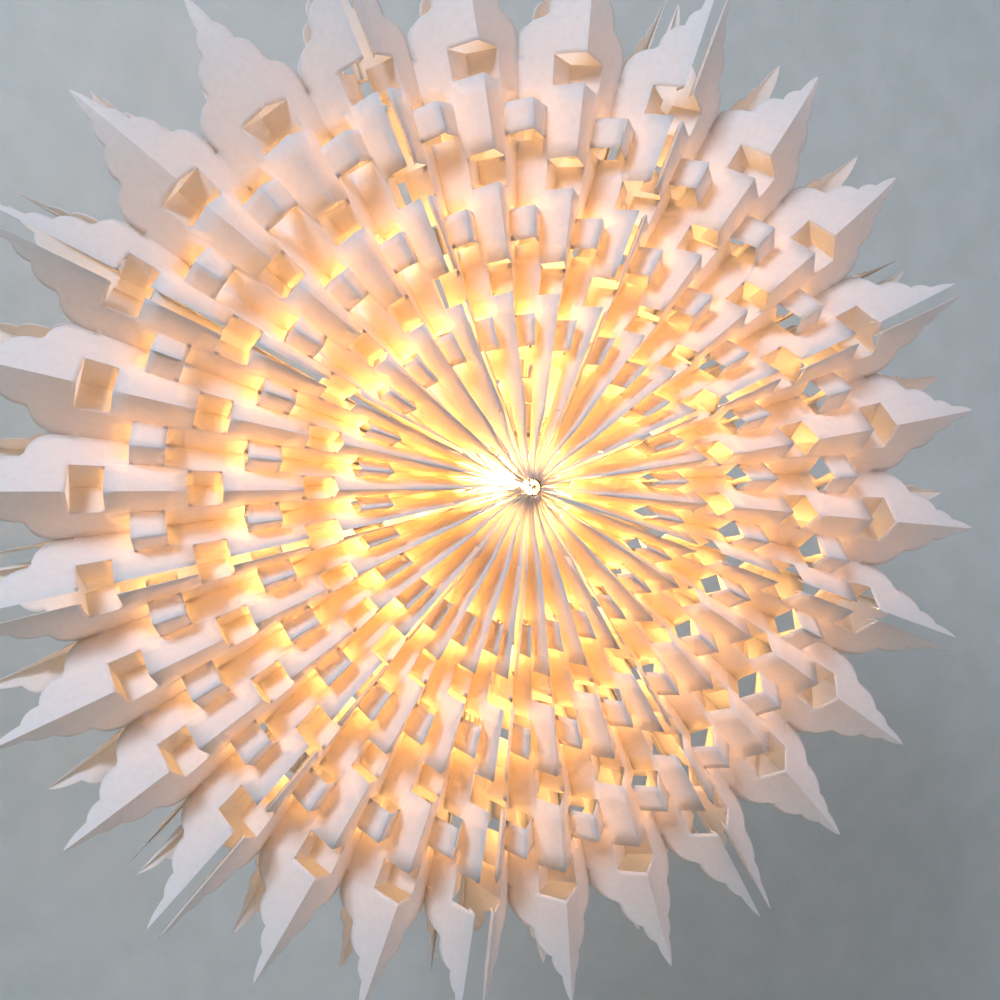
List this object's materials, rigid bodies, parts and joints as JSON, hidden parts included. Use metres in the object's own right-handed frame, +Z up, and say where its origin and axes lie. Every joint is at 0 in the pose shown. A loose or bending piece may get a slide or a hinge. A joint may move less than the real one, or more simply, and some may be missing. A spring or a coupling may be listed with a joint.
{
  "type": "hanging paper star lantern",
  "caption": "Round hanging star lantern of pleated, pierced white paper sheets with scalloped tips, lit by a small bulb in a lamp holder on a carrier wire.",
  "frame": {"origin": "centre of the cord gland's top face, where the mains lead enters", "axes": "+Z up along the lamp axis, the star's hub axis along Y, and the front of the star faces -Y"},
  "size_m": [0.6093, 0.0842, 0.6089],
  "materials": {
    "white_paper": "matt white card",
    "brown_thread": "brown cotton thread",
    "white_pad": "white hook-and-loop pad",
    "white_plastic": "white moulded plastic",
    "ceramic": "white steatite",
    "brass": "plain brass",
    "spring_steel": "bright drawn wire",
    "nickel": "nickel-plated",
    "opal_glass": "opal white glass"
  },
  "bodies": {
    "holder": {"holder_skirt": "white_plastic", "holder_dome": "white_plastic", "cord_gland": "white_plastic", "holder_insert": "ceramic", "contact_sleeve": "brass", "centre_contact": "brass", "live_terminal": "brass", "neutral_terminal": "brass"},
    "bulb": {"bulb_cap": "nickel", "bulb_contact": "brass", "bulb_glass": "opal_glass", "bulb_stem": "opal_glass"},
    "shade_ring": {"shade_ring": "white_plastic"},
    "star_core": {"carrier_wire": "spring_steel", "front_hub_thread": "brown_thread", "back_hub_thread": "brown_thread", "front_pleats_5": "white_paper", "back_pleats_5": "white_paper"},
    "module_1": {"front_pleats_1": "white_paper", "back_pleats_1": "white_paper", "loop_pad_1": "white_pad", "loop_pad_2": "white_pad"},
    "module_2": {"front_pleats_2": "white_paper", "back_pleats_2": "white_paper"},
    "module_3": {"front_pleats_3": "white_paper", "back_pleats_3": "white_paper"},
    "module_4": {"front_pleats_4": "white_paper", "back_pleats_4": "white_paper"},
    "module_6": {"front_pleats_6": "white_paper", "back_pleats_6": "white_paper"},
    "module_7": {"front_pleats_7": "white_paper", "back_pleats_7": "white_paper"},
    "module_8": {"front_pleats_8": "white_paper", "back_pleats_8": "white_paper"},
    "module_9": {"front_pleats_9": "white_paper", "back_pleats_9": "white_paper", "hook_pad_1": "white_pad", "hook_pad_2": "white_pad"}
  },
  "joints": [
    {"name": "star_swivel", "type": "hinge", "parent": "holder", "child": "star_core", "pos_m": [0, 0, -0.072], "axis": [0, 0, 1], "continuous": true},
    {"name": "bulb_turn", "type": "hinge", "parent": "holder", "child": "bulb", "pos_m": [0, 0, -0.072], "axis": [0, 0, 1], "range_deg": [0, 1080]},
    {"name": "ring_turn", "type": "hinge", "parent": "holder", "child": "shade_ring", "pos_m": [0, 0, -0.072], "axis": [0, 0, 1], "range_deg": [0, 720]},
    {"name": "fan_1", "type": "hinge", "parent": "star_core", "child": "module_1", "pos_m": [0, 0, -0.072], "axis": [0, -1, 0], "range_deg": [0, 8]},
    {"name": "fan_2", "type": "hinge", "parent": "star_core", "child": "module_2", "pos_m": [0, 0, -0.072], "axis": [0, -1, 0], "range_deg": [0, 6]},
    {"name": "fan_3", "type": "hinge", "parent": "star_core", "child": "module_3", "pos_m": [0, 0, -0.072], "axis": [0, -1, 0], "range_deg": [0, 4]},
    {"name": "fan_4", "type": "hinge", "parent": "star_core", "child": "module_4", "pos_m": [0, 0, -0.072], "axis": [0, -1, 0], "range_deg": [0, 2]},
    {"name": "fan_6", "type": "hinge", "parent": "star_core", "child": "module_6", "pos_m": [0, 0, -0.072], "axis": [0, -1, 0], "range_deg": [-2, 0]},
    {"name": "fan_7", "type": "hinge", "parent": "star_core", "child": "module_7", "pos_m": [0, 0, -0.072], "axis": [0, -1, 0], "range_deg": [-4, 0]},
    {"name": "fan_8", "type": "hinge", "parent": "star_core", "child": "module_8", "pos_m": [0, 0, -0.072], "axis": [0, -1, 0], "range_deg": [-6, 0]},
    {"name": "fan_9", "type": "hinge", "parent": "star_core", "child": "module_9", "pos_m": [0, 0, -0.072], "axis": [0, -1, 0], "range_deg": [-8, 0]}
  ],
  "couplings": [
    {"joint": "fan_2", "follows": "fan_1", "ratio": 0.75},
    {"joint": "fan_3", "follows": "fan_1", "ratio": 0.5},
    {"joint": "fan_4", "follows": "fan_1", "ratio": 0.25},
    {"joint": "fan_6", "follows": "fan_1", "ratio": -0.25},
    {"joint": "fan_7", "follows": "fan_1", "ratio": -0.5},
    {"joint": "fan_8", "follows": "fan_1", "ratio": -0.75},
    {"joint": "fan_9", "follows": "fan_1", "ratio": -1}
  ]
}
